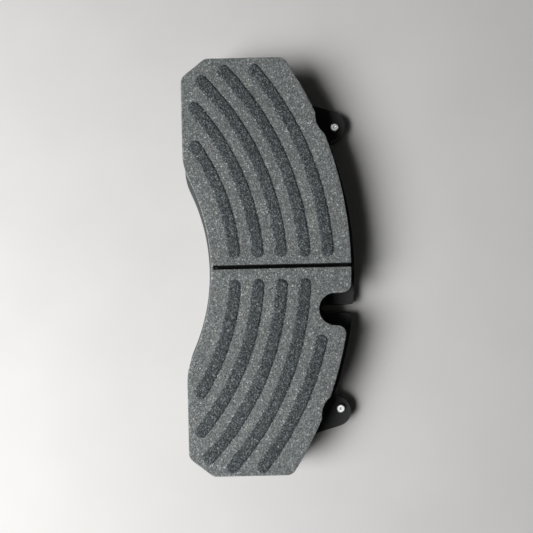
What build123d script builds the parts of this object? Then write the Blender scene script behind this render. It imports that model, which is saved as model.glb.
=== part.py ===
"""Disc-brake pad for a heavy truck or trailer axle, as an assembly of separate pieces.

Millimetres.  The pad lies on its back: the backing plate's rear face is on Z = 0 and the
friction face looks up along +Z.  +X runs along the pad, in the disc's direction of travel, and
+Y points away from the axle.  The origin is at the middle of the footprint.
"""

from build123d import *

import os
from math import asin, cos, degrees, radians, sin, sqrt

os.makedirs("parts", exist_ok=True)

# Stack, from the rear face up to the tops of the ribs
plate_thickness = 9.0
underlayer_thickness = 2.5
block_thickness = 17.7
rib_height = 0.8
block_bottom = plate_thickness + underlayer_thickness
block_top = block_bottom + block_thickness

# Friction outline: a ring segment whose inner edge has its own, higher centre
outer_centre_y = -174.7
inner_centre_y = -157.2
block_outer_radius = 221.9
block_inner_radius = 121.5
block_half_length = 123.2
block_flat_y = -51.0
end_bevel_x = 11.2
end_bevel_y = 14.4
inner_blend_radius = 34.0
block_corner_radius = 6.0

# How far the backing plate stands out beyond the friction material
plate_end_margin = 1.5
plate_flat_margin = 1.7
plate_inner_margin = 3.0
plate_outer_margin = 5.5
plate_corner_radius = 7.0
plate_edge_radius = 0.6

# Ears at the outer corners, each with a spring pin
ear_x = 90.0
ear_y = 39.1
ear_radius = 9.5
ear_flank_angle = 16.6
ear_flank_length = 23.0
ear_inner_fillet = 3.0
ear_outer_fillet = 4.0
pin_x = 87.9
pin_y = 41.6
pin_radius = 2.5
pin_shank_radius = 3.0
pin_height = 2.5
pin_chamfer = 0.5
pin_recess = 0.5
pin_dimple_radius = 0.7
pin_dimple_depth = 0.4
ear_clearance_x = 88.7
ear_clearance_y = 42.2
ear_clearance_radius = 14.3
ear_clearance_fillet = 1.5

# Wear-sensor pocket in the friction material, and the cable slot below it
sensor_x = 25.8
pocket_y = 37.4
pocket_radius = 9.6
pocket_lip_radius = 5.2
sensor_slot_x = 25.3
sensor_slot_width = 5.1
sensor_slot_end_y = 34.0
sensor_slot_lip_radius = 2.0

# Expansion slot across the middle, cut from the outer edge with a round cutter
slot_width = 2.5
slot_depth = 16.5
slot_cutter_radius = 60.0
slot_end_wall = 1.4
block_edge_radius = 0.4

# Keying holes through the plate, filled by plugs of the underlayer
keying_arc_radius = 190.0
keying_angles = (7.5, 18.5, 29.0)
keying_radius = 7.0
plug_recess = 0.4

# Raised ribs on the friction face, on arcs about one centre
rib_rows = 5
rib_centre_y = -152.3
rib_first_radius = 130.85
rib_pitch = 13.75
rib_width = 7.1
rib_edge_radius = 0.45
rib_pattern_x = 1.1
rib_near_tip = 6.4
rib_near_tip_beside_sensor = 39.9
rib_far_tips = (76.0, 98.6, 114.2, 120.0, 120.2)

# Worked-out places
plate_outer_radius = block_outer_radius + plate_outer_margin
pin_points = [(-pin_x, pin_y), (pin_x, pin_y)]
keying_points = [
    (side * keying_arc_radius * sin(radians(angle)), outer_centre_y + keying_arc_radius * cos(radians(angle)))
    for side in (-1, 1)
    for angle in keying_angles
]
clear_of_outline = 20.0


def arc_y(centre_y, radius, x):
    """Height of an arc centred on the Y axis, at a given X."""
    return centre_y + sqrt(radius**2 - x**2)


def ring_segment(half_length, flat_y, inner_radius, outer_radius, corner_radius):
    """The pad's basic outline: two arcs, straight bevelled ends and short flats beside the inner arc."""
    outer_corner_y = arc_y(outer_centre_y, outer_radius, half_length)
    bevel_top = (half_length, flat_y + end_bevel_y)
    bevel_foot = (half_length - end_bevel_x, flat_y)
    arc_foot_x = sqrt(inner_radius**2 - (flat_y - inner_centre_y) ** 2)
    with BuildSketch() as segment:
        with BuildLine():
            ThreePointArc(
                (-half_length, outer_corner_y),
                (0, outer_centre_y + outer_radius),
                (half_length, outer_corner_y),
            )
            Polyline((half_length, outer_corner_y), bevel_top, bevel_foot, (arc_foot_x, flat_y))
            ThreePointArc(
                (arc_foot_x, flat_y),
                (0, inner_centre_y + inner_radius),
                (-arc_foot_x, flat_y),
            )
            Polyline(
                (-arc_foot_x, flat_y),
                (-bevel_foot[0], bevel_foot[1]),
                (-bevel_top[0], bevel_top[1]),
                (-half_length, outer_corner_y),
            )
        make_face()
        arc_feet = segment.vertices().filter_by(lambda v: abs(abs(v.X) - arc_foot_x) < 0.1)
        fillet(arc_feet, inner_blend_radius)
        corners = segment.vertices().filter_by(lambda v: abs(v.X) > bevel_foot[0] - 0.1)
        fillet(corners, corner_radius)
    return segment.sketch


def friction_outline():
    """Outline of the friction material, with the ear clearances and the sensor pocket cut out."""
    with BuildSketch() as outline:
        add(
            ring_segment(
                block_half_length, block_flat_y, block_inner_radius, block_outer_radius, block_corner_radius
            )
        )
        before = outline.vertices()
        with Locations((-ear_clearance_x, ear_clearance_y), (ear_clearance_x, ear_clearance_y)):
            Circle(ear_clearance_radius, mode=Mode.SUBTRACT)
        fillet(outline.vertices() - before, ear_clearance_fillet)
        with Locations((sensor_x, pocket_y)):
            Circle(pocket_radius, mode=Mode.SUBTRACT)
            Rectangle(
                2 * pocket_radius,
                clear_of_outline,
                align=(Align.CENTER, Align.MIN),
                mode=Mode.SUBTRACT,
            )
        lips = outline.vertices().filter_by(
            lambda v: abs(abs(v.X - sensor_x) - pocket_radius) < 0.1 and v.Y > pocket_y + 1
        )
        fillet(lips, pocket_lip_radius)
    return outline.sketch


def ear_outline(side):
    """One ear: a round tip with a straight flank down to the plate's end."""
    flank = radians(ear_flank_angle)
    flank_start = (
        ear_x + ear_radius * cos(flank),
        ear_y + ear_radius * sin(flank),
    )
    flank_end = (
        flank_start[0] + ear_flank_length * sin(flank),
        flank_start[1] - ear_flank_length * cos(flank),
    )
    corners = [(ear_x, ear_y), flank_start, flank_end, (ear_x, ear_y - clear_of_outline)]
    with BuildSketch() as ear:
        with Locations((side * ear_x, ear_y)):
            Circle(ear_radius)
        with BuildLine():
            Polyline(*[(side * x, y) for x, y in corners], close=True)
        make_face()
    return ear.sketch


def plate_outline():
    """Outline of the backing plate, with its crown between the ears and the sensor's cable slot."""
    crown_y = arc_y(outer_centre_y, plate_outer_radius, ear_x)
    with BuildSketch() as outline:
        add(
            ring_segment(
                block_half_length + plate_end_margin,
                block_flat_y - plate_flat_margin,
                block_inner_radius - plate_inner_margin,
                block_outer_radius + plate_end_margin,
                plate_corner_radius,
            )
        )
        with BuildLine():
            ThreePointArc((-ear_x, crown_y), (0, outer_centre_y + plate_outer_radius), (ear_x, crown_y))
            Polyline((ear_x, crown_y), (ear_x, 0), (-ear_x, 0), (-ear_x, crown_y))
        make_face()
        for side in (-1, 1):
            add(ear_outline(side))
        ear_edges = outline.vertices().filter_by(lambda v: abs(v.X) < ear_x and v.Y > ear_y - 5)
        fillet(ear_edges, ear_inner_fillet)
        flank_ends = outline.vertices().filter_by(
            lambda v: ear_x + ear_radius < abs(v.X) < block_half_length - 5 and v.Y > 0
        )
        fillet(flank_ends, ear_outer_fillet)
        with Locations((sensor_slot_x, sensor_slot_end_y)):
            Circle(sensor_slot_width / 2, mode=Mode.SUBTRACT)
            Rectangle(
                sensor_slot_width,
                clear_of_outline,
                align=(Align.CENTER, Align.MIN),
                mode=Mode.SUBTRACT,
            )
        lips = outline.vertices().filter_by(
            lambda v: abs(abs(v.X - sensor_slot_x) - sensor_slot_width / 2) < 0.1 and v.Y > sensor_slot_end_y + 1
        )
        fillet(lips, sensor_slot_lip_radius)
    return outline.sketch


# Backing plate: cut steel, with keying holes and two holes for the spring pins
with BuildPart() as backing_plate:
    with BuildSketch():
        add(plate_outline())
        with Locations(*keying_points):
            Circle(keying_radius, mode=Mode.SUBTRACT)
        with Locations(*pin_points):
            Circle(pin_shank_radius, mode=Mode.SUBTRACT)
    extrude(amount=plate_thickness)
    rims = backing_plate.faces().sort_by(Axis.Z)[0].outer_wire().edges()
    rims += backing_plate.faces().sort_by(Axis.Z)[-1].outer_wire().edges()
    fillet(rims, plate_edge_radius)
backing_plate.part.label = "backing_plate"
export_step(backing_plate.part, "parts/backing_plate.step")

# Underlayer: bonds the friction block to the plate, and fills the keying holes
with BuildPart() as underlayer:
    with BuildSketch(Plane.XY.offset(plate_thickness)):
        add(friction_outline())
    extrude(amount=underlayer_thickness)
    with BuildSketch(Plane.XY.offset(plug_recess)):
        with Locations(*keying_points):
            Circle(keying_radius)
    extrude(amount=plate_thickness - plug_recess)
underlayer.part.label = "underlayer"
export_step(underlayer.part, "parts/underlayer.step")

# Friction block: the wearing compound, with the expansion slot across its middle
slot_floor_z = block_top - slot_depth
slot_end_y = inner_centre_y + block_inner_radius + slot_end_wall
cutter_z = slot_floor_z + slot_cutter_radius
cutter_y = slot_end_y + sqrt(slot_cutter_radius**2 - (cutter_z - block_top) ** 2)
cutter_mid_angle = asin((cutter_y - slot_end_y) / slot_cutter_radius) / 2
slot_outer_y = outer_centre_y + block_outer_radius + clear_of_outline
with BuildPart() as friction_block:
    with BuildSketch(Plane.XY.offset(block_bottom)):
        add(friction_outline())
    extrude(amount=block_thickness)
    with BuildSketch(Plane.YZ):
        with BuildLine():
            ThreePointArc(
                (cutter_y, slot_floor_z),
                (
                    cutter_y - slot_cutter_radius * sin(cutter_mid_angle),
                    cutter_z - slot_cutter_radius * cos(cutter_mid_angle),
                ),
                (slot_end_y, block_top),
            )
            Polyline(
                (slot_end_y, block_top),
                (slot_end_y, block_top + clear_of_outline),
                (slot_outer_y, block_top + clear_of_outline),
                (slot_outer_y, slot_floor_z),
                (cutter_y, slot_floor_z),
            )
        make_face()
    extrude(amount=slot_width / 2, both=True, mode=Mode.SUBTRACT)
    fillet(friction_block.faces().sort_by(Axis.Z)[-1].edges(), block_edge_radius)
friction_block.part.label = "friction_block"
export_step(friction_block.part, "parts/friction_block.step")

# Raised ribs on the friction face, five on each side of the slot
for side_name, side in (("left", -1), ("right", 1)):
    for row in range(rib_rows):
        rib_radius = rib_first_radius + rib_pitch * row
        beside_sensor = side == 1 and row == rib_rows - 1
        near_tip = rib_near_tip_beside_sensor if beside_sensor else rib_near_tip
        near_angle = degrees(asin((near_tip + rib_width / 2) / rib_radius))
        far_angle = degrees(asin((rib_far_tips[row] - rib_width / 2) / rib_radius))
        rib_line = CenterArc(
            (rib_pattern_x, rib_centre_y),
            rib_radius,
            90 - side * near_angle,
            -side * (far_angle - near_angle),
        )
        with BuildPart() as bedding_rib:
            with BuildSketch(Plane.XY.offset(block_top)):
                SlotArc(rib_line, rib_width)
            extrude(amount=rib_height)
            fillet(bedding_rib.edges().group_by(Axis.Z)[-1], rib_edge_radius)
        rib_name = f"bedding_rib_{side_name}_{row + 1}"
        bedding_rib.part.label = rib_name
        export_step(bedding_rib.part, f"parts/{rib_name}.step")

# Spring pins: a thicker shank pressed into the ear, and a thinner end standing proud of it
pin_top = plate_thickness + pin_height
pin_profile = [
    (0, pin_recess),
    (pin_shank_radius - pin_chamfer, pin_recess),
    (pin_shank_radius, pin_recess + pin_chamfer),
    (pin_shank_radius, plate_thickness),
    (pin_radius, plate_thickness),
    (pin_radius, pin_top - pin_chamfer),
    (pin_radius - pin_chamfer, pin_top),
    (pin_dimple_radius, pin_top),
    (0, pin_top - pin_dimple_depth),
]
for pin_name, pin_point in zip(("spring_pin_left", "spring_pin_right"), pin_points):
    with BuildPart() as spring_pin:
        with BuildSketch(Plane.XZ.offset(-pin_point[1])):
            with BuildLine():
                Polyline(*[(pin_point[0] + r, z) for r, z in pin_profile], close=True)
            make_face()
        revolve(axis=Axis((pin_point[0], pin_point[1], 0), (0, 0, 1)))
    spring_pin.part.label = pin_name
    export_step(spring_pin.part, f"parts/{pin_name}.step")
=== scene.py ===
"""Looks for the disc-brake pad: granular friction face and ribs, black painted plate, steel pins.

The CAD plate, underlayer and pins stay and take materials.  The friction block and its ribs are
rebuilt as dense meshes with real surface relief, on the outlines that the CAD nodes give.
"""

import math

import bmesh
import bpy
import numpy as np
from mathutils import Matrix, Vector, kdtree, noise
from mathutils.geometry import delaunay_2d_cdt


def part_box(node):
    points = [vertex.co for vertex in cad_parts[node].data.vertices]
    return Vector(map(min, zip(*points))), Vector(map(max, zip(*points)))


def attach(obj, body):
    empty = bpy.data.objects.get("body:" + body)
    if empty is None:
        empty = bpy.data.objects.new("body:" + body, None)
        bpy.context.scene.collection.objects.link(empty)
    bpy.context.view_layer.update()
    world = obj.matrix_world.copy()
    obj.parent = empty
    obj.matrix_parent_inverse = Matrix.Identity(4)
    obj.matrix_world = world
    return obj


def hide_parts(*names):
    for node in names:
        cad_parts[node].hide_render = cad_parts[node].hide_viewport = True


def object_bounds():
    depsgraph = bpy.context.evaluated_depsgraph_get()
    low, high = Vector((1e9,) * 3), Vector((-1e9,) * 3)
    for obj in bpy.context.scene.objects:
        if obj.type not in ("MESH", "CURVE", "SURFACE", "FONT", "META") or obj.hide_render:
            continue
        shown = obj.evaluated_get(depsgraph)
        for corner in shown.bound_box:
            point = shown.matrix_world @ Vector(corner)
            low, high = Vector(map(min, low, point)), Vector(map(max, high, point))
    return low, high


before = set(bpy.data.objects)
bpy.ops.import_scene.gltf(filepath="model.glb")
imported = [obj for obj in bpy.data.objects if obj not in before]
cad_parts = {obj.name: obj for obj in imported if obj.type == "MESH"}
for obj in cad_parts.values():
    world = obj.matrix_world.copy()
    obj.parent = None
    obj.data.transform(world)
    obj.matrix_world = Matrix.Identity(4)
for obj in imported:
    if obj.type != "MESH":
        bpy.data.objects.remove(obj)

cad_low, cad_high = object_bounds()
MM = 0.001

# Heights in the stack, in metres
PLATE_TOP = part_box("backing_plate")[1].z
BLOCK_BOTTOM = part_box("friction_block")[0].z
BLOCK_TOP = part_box("friction_block")[1].z

# Material indices of a rebuilt piece
TOP_INDEX = 0
WALL_INDEX = 1
SLOT_INDEX = 2

# Worn edges, as points (in from the outline, down from the top) in mm.  A negative first value is a foot
# that spreads outwards.
BLOCK_EDGE = [(0.50, 0.0), (0.27, 0.05), (0.08, 0.22), (0.0, 0.50)]
RIB_EDGE = [(0.88, 0.0), (0.60, 0.06), (0.30, 0.21), (0.0, 0.40), (-0.20, 0.52), (-0.38, 0.60)]

# Spacing of the rebuilt meshes, in mm
BLOCK_SPACING = 0.85
BLOCK_OUTLINE_SPACING = 0.9
BLOCK_WALL_STEP = 1.3
RIB_SPACING = 0.55
RIB_WALL_STEP = 0.5

# How far a rib's top is worn below the CAD rib's, and how far its foot is sunk in the block, in mm
RIB_WEAR = 0.2
RIB_SUNK = 0.2

# Tints of the compound, as factors of red, green and blue
COOL = (0.93, 1.0, 0.99)
BLUISH = (0.885, 1.0, 1.05)
PAINT_TINT = (0.98, 1.0, 0.99)
PAPER_TINT = (1.0, 0.99, 0.97)

# The plate's inner ledge, where dust settles: from none to full between these two places along Y, in metres
LEDGE_NEAR = -20 * MM
LEDGE_FAR = -32 * MM


# ---------------------------------------------------------------- outlines read from the CAD nodes

def flat_loop(node, height):
    """Points in mm, anticlockwise, round the flat face of a CAD node at that height in metres."""
    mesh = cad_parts[node].data
    steps = set()
    for face in mesh.polygons:
        corners = [mesh.vertices[i].co for i in face.vertices]
        if any(abs(c.z - height) > 1e-6 for c in corners):
            continue
        keys = [(round(c.x / MM, 3), round(c.y / MM, 3)) for c in corners]
        for step in zip(keys, keys[1:] + keys[:1]):
            if step[::-1] in steps:
                steps.remove(step[::-1])
            else:
                steps.add(step)
    following = dict(steps)
    start = min(following)
    loop = [start]
    while following[loop[-1]] != start:
        loop.append(following[loop[-1]])
    points = np.array(loop)
    x, y = points.T
    area = np.sum(x * np.roll(y, -1) - np.roll(x, -1) * y)
    return points if area > 0 else points[::-1]


def resample(loop, spacing, corner_turn=math.radians(30)):
    """The loop with evenly spaced points, keeping its sharp corners."""
    ahead = np.roll(loop, -1, 0) - loop
    heading = np.arctan2(ahead[:, 1], ahead[:, 0])
    turn = (heading - np.roll(heading, 1) + math.pi) % (2 * math.pi) - math.pi
    corners = list(np.nonzero(np.abs(turn) > corner_turn)[0]) or [0]
    points = []
    for first, last in zip(corners, corners[1:] + [corners[0] + len(loop)]):
        stretch = loop[np.arange(first, last + 1) % len(loop)]
        along = np.append(0, np.cumsum(np.linalg.norm(np.diff(stretch, axis=0), axis=1)))
        count = max(1, round(along[-1] / spacing))
        at = np.linspace(0, along[-1], count, endpoint=False)
        points.append(np.column_stack([np.interp(at, along, stretch[:, k]) for k in (0, 1)]))
    return np.concatenate(points)


def inward(points, sharpest=0.6):
    """At each point of an anticlockwise loop, the mitred direction into the outline."""
    ahead = np.roll(points, -1, 0) - points
    left = np.column_stack([-ahead[:, 1], ahead[:, 0]])
    left /= np.linalg.norm(left, axis=1)[:, None]
    both = left + np.roll(left, 1, 0)
    both /= np.linalg.norm(both, axis=1)[:, None]
    mitre = np.clip(np.sum(both * left, axis=1), sharpest, 1)
    return both / mitre[:, None]


def inside_outline(points, outline):
    """Which of the points lie inside the outline."""
    inside = np.zeros(len(points), bool)
    for (ax, ay), (bx, by) in zip(outline, np.roll(outline, -1, 0)):
        if ay == by:
            continue
        crosses = (points[:, 1] < ay) != (points[:, 1] < by)
        inside ^= crosses & (points[:, 0] < ax + (points[:, 1] - ay) * (bx - ax) / (by - ay))
    return inside


def points_within(outline, spacing):
    """A jittered triangular grid of points inside the outline, clear of its edge."""
    row_height = 0.866 * spacing
    jitter = 0.22
    clearance = 0.62 * spacing
    low, high = outline.min(0), outline.max(0)
    draws = np.random.default_rng(11)
    grid = []
    for k, y in enumerate(np.arange(low[1], high[1], row_height)):
        x = np.arange(low[0] + (k % 2) * spacing / 2, high[0], spacing)
        grid.append(np.column_stack([x, np.full(len(x), y)]))
    grid = np.concatenate(grid)
    grid += draws.uniform(-jitter, jitter, grid.shape) * spacing
    grid = grid[inside_outline(grid, outline)]
    tree = kdtree.KDTree(len(outline))
    for i, (x, y) in enumerate(outline):
        tree.insert((x, y, 0), i)
    tree.balance()
    far = [tree.find((x, y, 0))[2] > clearance for x, y in grid]
    return grid[np.array(far)]


def triangles(outline, inner):
    """Triangles over the outline and its inner points, as rows of indices into both."""
    coords = [Vector(p) for p in outline] + [Vector(p) for p in inner]
    n = len(outline)
    edges = [(i, (i + 1) % n) for i in range(n)]
    made = delaunay_2d_cdt(coords, edges, [list(range(n))], 1, 1e-6)
    source = [origins[0] for origins in made[3]]
    return [[source[i] for i in face] for face in made[2]]


# ---------------------------------------------------------------- dense slabs with relief

def fractal(x, y, z, size):
    """Smooth noise of about -1 to 1 whose largest bumps are about size mm across."""
    dimension, finer, octaves = 0.8, 2.1, 3
    return noise.fractal(Vector((x, y, z)) / size, dimension, finer, octaves)


def face_relief(x, y):
    """Relief of the moulded friction face, mm: fine grain with scattered pits."""
    pit = max(0.0, noise.noise(Vector((x, y, 4.0)) / 1.9) - 0.45)
    return 0.015 * fractal(x, y, 0, 1.7) - 0.3 * pit


def rib_relief(x, y):
    """Relief of a rib's top, mm: coarse and knobbly."""
    return 0.085 * fractal(x, y, 9, 1.5) + 0.05 * noise.noise(Vector((x, y, 2.0)) / 3.5)


def wall_relief(x, y, z):
    """How far the block's wall stands out, mm."""
    return 0.05 * fractal(x, y, z, 2.2) - 0.03


def rib_wall_relief(x, y, z):
    """How far a rib's uneven side stands out, mm."""
    return 0.16 * fractal(x, y, z, 2.0) - 0.05


def edge_and_wall_rows(edge_rows, wear, low, high, wall_step):
    """The rows below a slab's rim, each as distances in from the outline and heights, mm."""
    edge_in, edge_drop = edge_rows[-1]
    rows = []
    for row_in, row_down in edge_rows:
        left = 1 - row_down / edge_drop
        rows.append((row_in + left * wear, high - row_down - 0.5 * left * wear))
    wall_rows = max(2, round((high - edge_drop - low) / wall_step) + 1)
    for z in np.linspace(high - edge_drop, low, wall_rows)[1:]:
        rows.append((np.full(len(wear), edge_in), np.full(len(wear), z)))
    return rows


def slab(name, outline, low, high, spacing, edge_profile, wall_step, top_relief, side_relief, chips):
    """A closed slab in mm: a triangulated top with relief, a worn edge, and walls in rows.

    chips is how far the wear eats into the edge at its worst.
    """
    into = inward(outline)
    wear = np.array([max(0.0, fractal(x, y, 0, 2.6)) for x, y in outline]) * chips
    (rim_in, _), *edge_rows = edge_profile
    rim = outline + into * (rim_in + wear)[:, None]
    inner = points_within(rim, spacing)
    verts = [(x, y, high + top_relief(x, y)) for x, y in np.concatenate([rim, inner])]
    faces = triangles(rim, inner)
    top_faces = len(faces)
    previous = list(range(len(outline)))
    rows = edge_and_wall_rows(edge_rows, wear, low, high, wall_step)
    for k, (setback, height) in enumerate(rows):
        last = k == len(rows) - 1
        start = len(verts)
        for (x, y), (dx, dy), back, z in zip(outline, into, setback, height):
            out = 0.0 if last else side_relief(x, y, z)
            verts.append((x + dx * (back - out), y + dy * (back - out), z))
        row = list(range(start, len(verts)))
        faces += [[previous[i - 1], row[i - 1], row[i], previous[i]] for i in range(len(row))]
        previous = row
    faces += [[previous[i] for i in reversed(face)] for face in triangles(outline, [])]
    mesh = bpy.data.meshes.new(name)
    mesh.from_pydata([(x * MM, y * MM, z * MM) for x, y, z in verts], [], faces)
    mesh.validate()
    for i, polygon in enumerate(mesh.polygons):
        polygon.use_smooth = True
        polygon.material_index = TOP_INDEX if i < top_faces else WALL_INDEX
    piece = bpy.data.objects.new(name, mesh)
    bpy.context.scene.collection.objects.link(piece)
    return piece


# ---------------------------------------------------------------- the expansion slot

def slot_profile():
    """The expansion slot's half width, and its floor as (y, z) along it, read from the CAD block in mm."""
    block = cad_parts["friction_block"].data
    walls = [face for face in block.polygons if abs(face.normal.x) > 0.999 and abs(face.center.x) < 5 * MM]
    points = [block.vertices[i].co / MM for face in walls for i in face.vertices]
    floor = {}
    for x, y, z in points:
        floor[round(y, 2)] = min(z, floor.get(round(y, 2), z))
    half_width = max(abs(p.x) for p in points)
    return half_width, sorted(floor.items())


def slot_cutter(half_width, floor, top):
    """A prism along the slot, with the slot's floor below, reaching past the block's top and outer edge."""
    reach = 4.0
    (y_start, z_start), (y_end, z_end) = floor[0], floor[-1]
    profile = []
    if z_start < top:
        profile = [(y_start - (top - z_start) - reach, top + reach), (y_start - (top - z_start), top)]
    profile += floor
    profile += [(y_end + reach, z_end), (y_end + reach, top + reach)]
    n = len(profile)
    verts = [(side * half_width * MM, y * MM, z * MM) for side in (-1, 1) for y, z in profile]
    faces = [list(range(n)), list(range(2 * n - 1, n - 1, -1))]
    faces += [[i, i + n, (i + 1) % n + n, (i + 1) % n] for i in range(n)]
    mesh = bpy.data.meshes.new("slot_cutter")
    mesh.from_pydata(verts, [], faces)
    shape = bmesh.new()
    shape.from_mesh(mesh)
    bmesh.ops.recalc_face_normals(shape, faces=shape.faces)
    shape.to_mesh(mesh)
    shape.free()
    cutter = bpy.data.objects.new("slot_cutter", mesh)
    bpy.context.scene.collection.objects.link(cutter)
    return cutter


def mark_slot_faces(mesh, half_width, inner_end, top):
    """Gives the slot's walls and floor their own material index."""
    for polygon in mesh.polygons:
        place = polygon.center / MM
        faces_up = polygon.normal.z >= 0.5
        in_wall = abs(place.x) < half_width + 0.01 and place.y > inner_end and not faces_up
        in_floor = abs(place.x) < half_width and place.z < top - 0.5 and faces_up
        if in_wall or in_floor:
            polygon.material_index = SLOT_INDEX


def cut_slot(piece):
    """Cuts the expansion slot out of the block."""
    half_width, floor = slot_profile()
    top = BLOCK_TOP / MM
    cutter = slot_cutter(half_width, floor, top)
    cut = piece.modifiers.new("slot", "BOOLEAN")
    cut.object = cutter
    cut.operation = "DIFFERENCE"
    cut.solver = "EXACT"
    bpy.context.view_layer.update()
    ready = piece.evaluated_get(bpy.context.evaluated_depsgraph_get())
    result = bpy.data.meshes.new_from_object(ready)
    piece.modifiers.clear()
    piece.data = result
    bpy.data.objects.remove(cutter)
    mark_slot_faces(result, half_width, floor[0][0], top)


# ---------------------------------------------------------------- shader helpers

def grey(value, tint=(1.0, 1.0, 1.0)):
    return (value * tint[0], value * tint[1], value * tint[2], 1.0)


class Nodes:
    """A material's node tree, with short calls for the nodes used here.

    An offset moves a texture, in metres, so that no two layers of a material repeat each other.
    """

    def __init__(self, name):
        self.material = bpy.data.materials.new(name)
        self.material.use_nodes = True
        self.tree = self.material.node_tree
        self.shader = self.tree.nodes["Principled BSDF"]
        self.place = self.add("ShaderNodeTexCoord").outputs["Object"]

    def add(self, kind, **settings):
        node = self.tree.nodes.new(kind)
        for key, value in settings.items():
            setattr(node, key, value)
        return node

    def put(self, socket, value):
        if isinstance(value, bpy.types.NodeSocket):
            self.tree.links.new(value, socket)
        else:
            socket.default_value = value

    def moved(self, place, location):
        """A place shifted by a fixed location."""
        mapping = self.add("ShaderNodeMapping")
        self.put(mapping.inputs["Vector"], place)
        mapping.inputs["Location"].default_value = location
        return mapping.outputs["Vector"]

    def noise(self, size_mm, detail=3.0, roughness=0.55, offset=0.0):
        """Noise whose features are about size_mm across."""
        node = self.add("ShaderNodeTexNoise")
        self.put(node.inputs["Vector"], self.moved(self.place, (offset, offset * 0.7, offset * 0.3)))
        node.inputs["Scale"].default_value = 1 / (size_mm * MM)
        node.inputs["Detail"].default_value = detail
        node.inputs["Roughness"].default_value = roughness
        return node.outputs["Fac"]

    def cells(self, size_mm, offset=0.0, warp=None):
        """Cells of about size_mm: distance from the middle, and a random colour for each."""
        node = self.add("ShaderNodeTexVoronoi")
        self.put(node.inputs["Vector"], self.moved(warp or self.place, (offset, offset * 1.3, offset * 0.6)))
        node.inputs["Scale"].default_value = 1 / (size_mm * MM)
        return node.outputs["Distance"], node.outputs["Color"]

    def spots(self, size_mm, share, smallest, largest, offset=0.0, warp=None):
        """Round spots in a share of the cells: a mask, and each cell's random colour.

        smallest and largest are a spot's radius as parts of its cell.
        """
        distance, color = self.cells(size_mm, offset=offset, warp=warp)
        inside = self.math("LESS_THAN", distance, self.span(self.channel(color, 1), 0, 1, smallest, largest))
        chosen = self.math("LESS_THAN", self.channel(color, 0), share)
        return self.math("MULTIPLY", inside, chosen), color

    def warped(self, size_mm, reach_mm):
        """The place on the object, pushed about by noise, so that cells lose their straight sides."""
        jitter = self.add("ShaderNodeTexNoise")
        self.put(jitter.inputs["Vector"], self.place)
        jitter.inputs["Scale"].default_value = 1 / (size_mm * MM)
        jitter.inputs["Detail"].default_value = 2.0
        push = self.add("ShaderNodeVectorMath", operation="MULTIPLY_ADD")
        self.put(push.inputs[0], jitter.outputs["Color"])
        push.inputs[1].default_value = (reach_mm * MM,) * 3
        self.put(push.inputs[2], self.place)
        return push.outputs[0]

    def math(self, operation, a, b=0.0):
        node = self.add("ShaderNodeMath", operation=operation)
        self.put(node.inputs[0], a)
        self.put(node.inputs[1], b)
        return node.outputs[0]

    def times(self, *values):
        """The product of two or more values."""
        product = values[0]
        for value in values[1:]:
            product = self.math("MULTIPLY", product, value)
        return product

    def coordinate(self, vector, letter):
        """One coordinate of a vector."""
        node = self.add("ShaderNodeSeparateXYZ")
        self.put(node.inputs[0], vector)
        return node.outputs[letter]

    def axis(self, letter):
        """One coordinate on the object, in metres."""
        return self.coordinate(self.place, letter)

    def flatness(self):
        """How far the surface faces up or down, from 0 on a wall to 1 on a flat."""
        normal = self.add("ShaderNodeNewGeometry").outputs["Normal"]
        return self.math("ABSOLUTE", self.coordinate(normal, "Z"))

    def channel(self, color, index=0):
        """The red, green or blue of a colour."""
        node = self.add("ShaderNodeSeparateColor")
        self.put(node.inputs[0], color)
        return node.outputs[index]

    def span(self, value, from_low, from_high, to_low=0.0, to_high=1.0):
        """value mapped from one range to another, held at both ends."""
        node = self.add("ShaderNodeMapRange")
        self.put(node.inputs["Value"], value)
        ends = {"From Min": from_low, "From Max": from_high, "To Min": to_low, "To Max": to_high}
        for key, end in ends.items():
            self.put(node.inputs[key], end)
        return node.outputs["Result"]

    def grey(self, value):
        """A grey colour from one number."""
        node = self.add("ShaderNodeCombineColor")
        for i in range(3):
            self.put(node.inputs[i], value)
        return node.outputs[0]

    def mix(self, factor, a, b, blend="MIX"):
        node = self.add("ShaderNodeMix", data_type="RGBA", blend_type=blend)
        self.put(node.inputs["Factor"], factor)
        self.put(node.inputs["A"], a)
        self.put(node.inputs["B"], b)
        return node.outputs["Result"]

    def tinted(self, value, tint):
        """A grey of that value, multiplied by a colour."""
        return self.mix(1.0, self.grey(value), tint, "MULTIPLY")

    def bump(self, height, depth_mm):
        node = self.add("ShaderNodeBump")
        node.inputs["Distance"].default_value = depth_mm * MM
        self.put(node.inputs["Height"], height)
        return node.outputs["Normal"]

    def surface(self, **sockets):
        """Sets the shader's sockets, named with underscores, and gives the material."""
        for name, value in sockets.items():
            self.put(self.shader.inputs[name.replace("_", " ")], value)
        return self.material


# ---------------------------------------------------------------- materials

def faded_tone(m, tone, fade, patches):
    """The mean tone, giving way to another lower down, along a ragged line.

    fade is the height where the other tone ends, the height where the mean tone starts, and that other tone.
    """
    foot, start, other = fade
    raggedness = 0.25 * (start - foot)
    ragged = m.span(patches, 0.2, 0.8, -raggedness, raggedness)
    return m.span(m.math("ADD", m.axis("Z"), ragged), foot, start, other, tone)


def flake_color(m, cell_color, brightest):
    """Metal flakes from dull to bright, a few of them brassy: their brightness is partly the metal's own light
    colour and partly a painted glint.
    """
    glint = m.span(m.math("POWER", m.channel(cell_color, 2), 2.0), 0, 1, 0.22, brightest)
    lottery = m.math("FRACT", m.times(m.channel(cell_color, 1), 37.0))
    brassy = m.math("GREATER_THAN", lottery, 0.96)
    return m.tinted(glint, m.mix(brassy, grey(1.0, COOL), (1.0, 0.92, 0.76, 1.0)))


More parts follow.
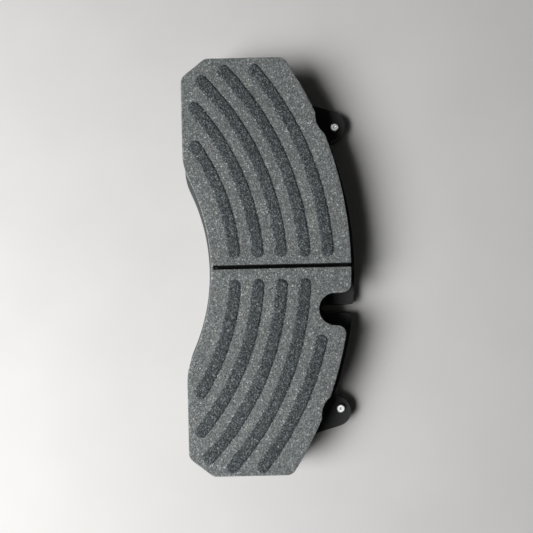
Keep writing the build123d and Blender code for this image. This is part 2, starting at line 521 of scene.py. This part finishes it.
def compound(
    name, tone, tint, contrast, knob_mm, crevice, bump_mm, flake_share, flake_top, pit_share, fade=None,
):
    """Resin-bonded friction material: packed grains, metal flakes and open pits, round one mean tone.

    contrast is between grains, crevice is how much the gaps between knobs are darkened, as painted shade,
    and flake_share and pit_share are the shares of cells with a flake or a pit.  The pits are darkened as
    painted shade, and a flake's brightness is partly its own light metal and partly a painted glint.
    """
    m = Nodes(name)
    warp = m.warped(0.5, 0.35)
    knob_distance, knob_color = m.cells(knob_mm, offset=0.011, warp=warp)
    patches = m.noise(3.2, detail=3.0, roughness=0.6, offset=0.031)
    broad = m.noise(42.0, detail=2.0, roughness=0.5, offset=0.057)
    if fade is not None:
        tone = faded_tone(m, tone, fade, patches)
    coarse_grain = m.channel(m.cells(0.62, offset=0.021)[1])
    fine_grain = m.channel(m.cells(0.44, offset=0.027)[1])
    value = tone
    for layer in (coarse_grain, fine_grain):
        mostly_dark = m.math("POWER", layer, 2.2)
        value = m.times(value, m.span(mostly_dark, 0, 1, 1 - 0.62 * contrast, 1 + 1.38 * contrast))
    # Painted shade: the gaps between knobs are darkened by crevice.
    value = m.times(
        value,
        m.span(knob_distance, 0.15, 0.75, 1 + crevice, 1 - crevice),
        m.span(patches, 0.25, 0.75, 0.97, 1.03),
        m.span(broad, 0.3, 0.7, 0.94, 1.06),
    )
    pit, _ = m.spots(1.25, pit_share, smallest=0.10, largest=0.40, offset=0.091, warp=warp)
    # Painted shade: each pit is darkened to 0.45 of the tone, as if shaded inside.
    value = m.times(value, m.span(pit, 0, 1, 1.0, 0.45))
    flake, cell_color = m.spots(1.15, flake_share, smallest=0.12, largest=0.48, offset=0.071, warp=warp)
    color = m.mix(flake, m.tinted(value, grey(1.0, tint)), flake_color(m, cell_color, flake_top))
    height = m.math("SUBTRACT", m.times(m.channel(knob_color), 0.35), knob_distance)
    height = m.math("ADD", height, m.times(coarse_grain, 0.25))
    height = m.math("SUBTRACT", height, pit)
    relief = m.bump(height, bump_mm)
    rough = m.span(flake, 0, 1, 0.88, 0.45)
    return m.surface(Base_Color=color, Roughness=rough, Normal=relief, Specular_IOR_Level=0.35)


def ledge_dust(m):
    """Where dust lies on the plate's top, beyond the block's inner edge."""
    along = m.span(m.axis("Y"), LEDGE_NEAR, LEDGE_FAR)
    on_top = m.span(m.axis("Z"), PLATE_TOP - 0.4 * MM, PLATE_TOP)
    uneven = m.span(m.noise(0.8, detail=3.0, roughness=0.6, offset=0.029), 0.3, 0.6, 0.45, 1.0)
    return m.times(along, on_top, uneven)


def lighter_edge_stretches(m):
    """Where the paint is lighter, in stretches along the plate's upper and lower edges."""
    upper = m.span(m.axis("Z"), PLATE_TOP - 0.35 * MM, PLATE_TOP - 0.05 * MM)
    lower = m.span(m.axis("Z"), 0.05 * MM, 0.35 * MM, 1.0, 0.0)
    stretches = m.span(m.noise(5.0, detail=4.0, roughness=0.65, offset=0.083), 0.50, 0.62)
    off_the_flats = m.math("LESS_THAN", m.flatness(), 0.9)
    return m.times(m.math("MAXIMUM", upper, lower), stretches, off_the_flats)


def plate_paint():
    """Satin black paint over cut steel, with a fine orange peel, specks, dust and lighter stretches along the
    edges.
    """
    m = Nodes("plate_paint")
    peel = m.noise(1.4, detail=2.0, roughness=0.5)
    cloud = m.noise(26.0, detail=4.0, roughness=0.6, offset=0.017)
    speck, _ = m.spots(1.9, share=0.25, smallest=0.02, largest=0.12, offset=0.043)
    dust = ledge_dust(m)
    color = m.mix(m.span(cloud, 0.35, 0.7), grey(0.037, PAINT_TINT), grey(0.051, PAINT_TINT))
    color = m.mix(m.times(speck, 0.5), color, grey(0.12))
    color = m.mix(dust, color, grey(0.12, COOL))
    color = m.mix(lighter_edge_stretches(m), color, grey(0.16, COOL))
    rough = m.span(cloud, 0.3, 0.7, 0.54, 0.66)
    rough = m.math("ADD", rough, m.times(m.math("MAXIMUM", speck, dust), 0.25))
    relief = m.bump(peel, depth_mm=0.035)
    return m.surface(Base_Color=color, Roughness=rough, Normal=relief, Specular_IOR_Level=0.35)


def pin_steel():
    """Bright plated steel, faintly scratched, above the plate's top, and black below it: paint on the pin's
    shoulder, and partly a painted contact shadow round the pin.
    """
    m = Nodes("pin_steel")
    scratch = m.noise(0.35, detail=3.0, roughness=0.7)
    cloud = m.noise(1.6, detail=3.0, roughness=0.6, offset=0.02)
    bright = m.math("GREATER_THAN", m.axis("Z"), PLATE_TOP + 0.1 * MM)
    steel = m.mix(m.span(cloud, 0.3, 0.7), (0.84, 0.86, 0.87, 1.0), (0.97, 0.98, 0.99, 1.0))
    # Below the plate's top the pin is near black, darker than the plate's paint: its painted shoulder, and
    # partly a painted contact shadow round the pin.
    color = m.mix(bright, grey(0.022), steel)
    rough = m.span(bright, 0, 1, 0.6, m.span(scratch, 0.3, 0.7, 0.09, 0.17))
    metal = m.times(bright, 0.75)
    return m.surface(Base_Color=color, Metallic=metal, Roughness=rough, Normal=m.bump(scratch, depth_mm=0.003))


def floor_paper():
    """Plain pale studio surface."""
    m = Nodes("floor_paper")
    tone = m.noise(60.0, detail=3.0, roughness=0.5)
    color = m.mix(m.span(tone, 0.3, 0.7), grey(0.66, PAPER_TINT), grey(0.69, PAPER_TINT))
    return m.surface(Base_Color=color, Roughness=0.9)


FACE_TONE = 0.165
face_material = compound(
    "friction_face", tone=FACE_TONE, tint=COOL, contrast=0.47, knob_mm=0.80, crevice=0.05, bump_mm=0.04,
    flake_share=0.24, flake_top=0.66, pit_share=0.14,
)
# The block's sides are darker lower down and lighter in the top 0.35 mm under the rim: a worn edge, and partly
# a painted highlight along the rim.
side_material = compound(
    "friction_side", tone=0.24, tint=COOL, contrast=0.35, knob_mm=0.80, crevice=0.06, bump_mm=0.05,
    flake_share=0.08, flake_top=0.34, pit_share=0.20,
    fade=(BLOCK_TOP - 1.2 * MM, BLOCK_TOP - 0.35 * MM, 0.062),
)
# Painted shade: the expansion slot's walls and floor are near black, for the shade inside the narrow slot.
slot_shade_material = compound(
    "slot_wall_shade", tone=0.022, tint=COOL, contrast=0.30, knob_mm=0.80, crevice=0.06, bump_mm=0.05,
    flake_share=0.04, flake_top=0.10, pit_share=0.20,
)
rib_material = compound(
    "rib_face", tone=0.084, tint=BLUISH, contrast=0.66, knob_mm=1.15, crevice=0.30, bump_mm=0.30,
    flake_share=0.05, flake_top=0.34, pit_share=0.22,
    fade=(BLOCK_TOP - 0.05 * MM, BLOCK_TOP + 0.28 * MM, FACE_TONE),
)
under_material = compound(
    "underlayer", tone=0.070, tint=COOL, contrast=0.30, knob_mm=0.80, crevice=0.06, bump_mm=0.05,
    flake_share=0.08, flake_top=0.40, pit_share=0.15,
)
paint = plate_paint()
steel = pin_steel()


# ---------------------------------------------------------------- the object

def finish_piece(piece, node, materials):
    """Gives a rebuilt piece its materials, smooth shading with sharp corners, and its place in the frame."""
    for material in materials:
        piece.data.materials.append(material)
    piece.data.set_sharp_from_angle(angle=math.radians(38))
    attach(piece, "root")
    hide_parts(node)


def make_block():
    """The friction block, on the underlayer's outline, which is the block's own without its slot."""
    outline = resample(flat_loop("underlayer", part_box("underlayer")[1].z), BLOCK_OUTLINE_SPACING)
    piece = slab(
        "friction_block_face", outline, BLOCK_BOTTOM / MM, BLOCK_TOP / MM,
        spacing=BLOCK_SPACING, edge_profile=BLOCK_EDGE, wall_step=BLOCK_WALL_STEP,
        top_relief=face_relief, side_relief=wall_relief, chips=0.35,
    )
    cut_slot(piece)
    finish_piece(piece, "friction_block", (face_material, side_material, slot_shade_material))


def make_rib(node):
    """One raised rib, with its foot a little way into the block."""
    low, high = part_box(node)
    outline = resample(flat_loop(node, low.z), RIB_SPACING)
    piece = slab(
        node + "_strip", outline, low.z / MM - RIB_SUNK, high.z / MM - RIB_WEAR,
        spacing=RIB_SPACING, edge_profile=RIB_EDGE, wall_step=RIB_WALL_STEP,
        top_relief=rib_relief, side_relief=rib_wall_relief, chips=0.25,
    )
    finish_piece(piece, node, (rib_material, rib_material))


def dress(node, material):
    """Gives a CAD node that stays its material."""
    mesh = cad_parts[node].data
    mesh.materials.clear()
    mesh.materials.append(material)


make_block()
for name in sorted(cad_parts):
    if name.startswith("bedding_rib_"):
        make_rib(name)
dress("backing_plate", paint)
dress("underlayer", under_material)
for pin in ("spring_pin_left", "spring_pin_right"):
    dress(pin, steel)


# ---------------------------------------------------------------- floor, light and camera

def make_floor():
    """A wide flat floor just below the plate's rear face."""
    half = 3.0
    corners = [(-half, -half, 0), (half, -half, 0), (half, half, 0), (-half, half, 0)]
    mesh = bpy.data.meshes.new("floor")
    mesh.from_pydata(corners, [], [[0, 1, 2, 3]])
    mesh.materials.append(floor_paper())
    floor = bpy.data.objects.new("floor", mesh)
    floor.location.z = cad_low.z - 0.1 * MM
    bpy.context.scene.collection.objects.link(floor)


def hang(name, light, place, toward):
    """Puts a light at a place, shining back along the direction toward it."""
    lamp = bpy.data.objects.new(name, light)
    lamp.location = place
    lamp.rotation_mode = "QUATERNION"
    lamp.rotation_quaternion = (-toward).to_track_quat("-Z", "Y")
    bpy.context.scene.collection.objects.link(lamp)


def panel(name, side, power):
    """A square soft light, with its side in metres and its power in watts."""
    light = bpy.data.lights.new(name, "AREA")
    light.shape = "SQUARE"
    light.size = side
    light.energy = power
    return light


def make_window(azimuth, elevation):
    """A soft window light, and a weaker distant one behind it.

    Both angles are in degrees, and azimuth goes from -Y towards +X.
    """
    distance = 0.78
    a, e = math.radians(azimuth), math.radians(elevation)
    toward = Vector((math.sin(a) * math.cos(e), -math.cos(a) * math.cos(e), math.sin(e)))
    hang("window", panel("window", side=0.447, power=6.9), toward * distance, toward)
    distant = bpy.data.lights.new("sky", "SUN")
    distant.angle = math.radians(32)
    distant.energy = 0.92
    hang("sky", distant, toward, toward)


def make_glint(pin, radiance):
    """A small light overhead, where the camera sees it mirrored in the pin's flat end."""
    side, distance = 0.10, 1.1
    low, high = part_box(pin)
    end = Vector(((low.x + high.x) / 2, (low.y + high.y) / 2, high.z))
    to_camera = bpy.context.scene.camera.location - end
    toward = Vector((-to_camera.x, -to_camera.y, to_camera.z)).normalized()
    name = "glint_" + pin
    light = panel(name, side, power=radiance * math.pi * side * side)
    hang(name, light, end + toward * distance, toward)


def make_world(ambient, backdrop):
    """A dim surround to light by, which looks like a grey backdrop where the floor ends."""
    world = bpy.data.worlds.new("studio")
    world.use_nodes = True
    tree = world.node_tree
    background = tree.nodes["Background"]
    background.inputs["Color"].default_value = (1.0, 0.99, 0.98, 1.0)
    seen = tree.nodes.new("ShaderNodeLightPath").outputs["Is Camera Ray"]
    strength = tree.nodes.new("ShaderNodeMapRange")
    tree.links.new(seen, strength.inputs["Value"])
    strength.inputs["To Min"].default_value = ambient
    strength.inputs["To Max"].default_value = backdrop
    tree.links.new(strength.outputs["Result"], background.inputs["Strength"])
    bpy.context.scene.world = world


def make_camera():
    """Straight above the pad, a little off its middle, with +X down the picture; sizes in metres."""
    height = 0.2825
    view_width = 0.313404
    data = bpy.data.cameras.new("camera")
    data.sensor_width = 36.0
    data.lens = data.sensor_width * height / view_width
    data.shift_y = 0.0957
    data.clip_start = 0.01
    camera = bpy.data.objects.new("camera", data)
    camera.location = (0.030, -0.0035, BLOCK_TOP + height)
    camera.rotation_euler = (0, 0, math.radians(88.7))
    bpy.context.scene.collection.objects.link(camera)
    bpy.context.scene.camera = camera


make_floor()
make_camera()
make_window(azimuth=22, elevation=45)
make_glint("spring_pin_left", radiance=0.65)
make_glint("spring_pin_right", radiance=1.5)
make_world(ambient=0.014, backdrop=0.15)
bpy.context.scene.view_settings.view_transform = "Standard"
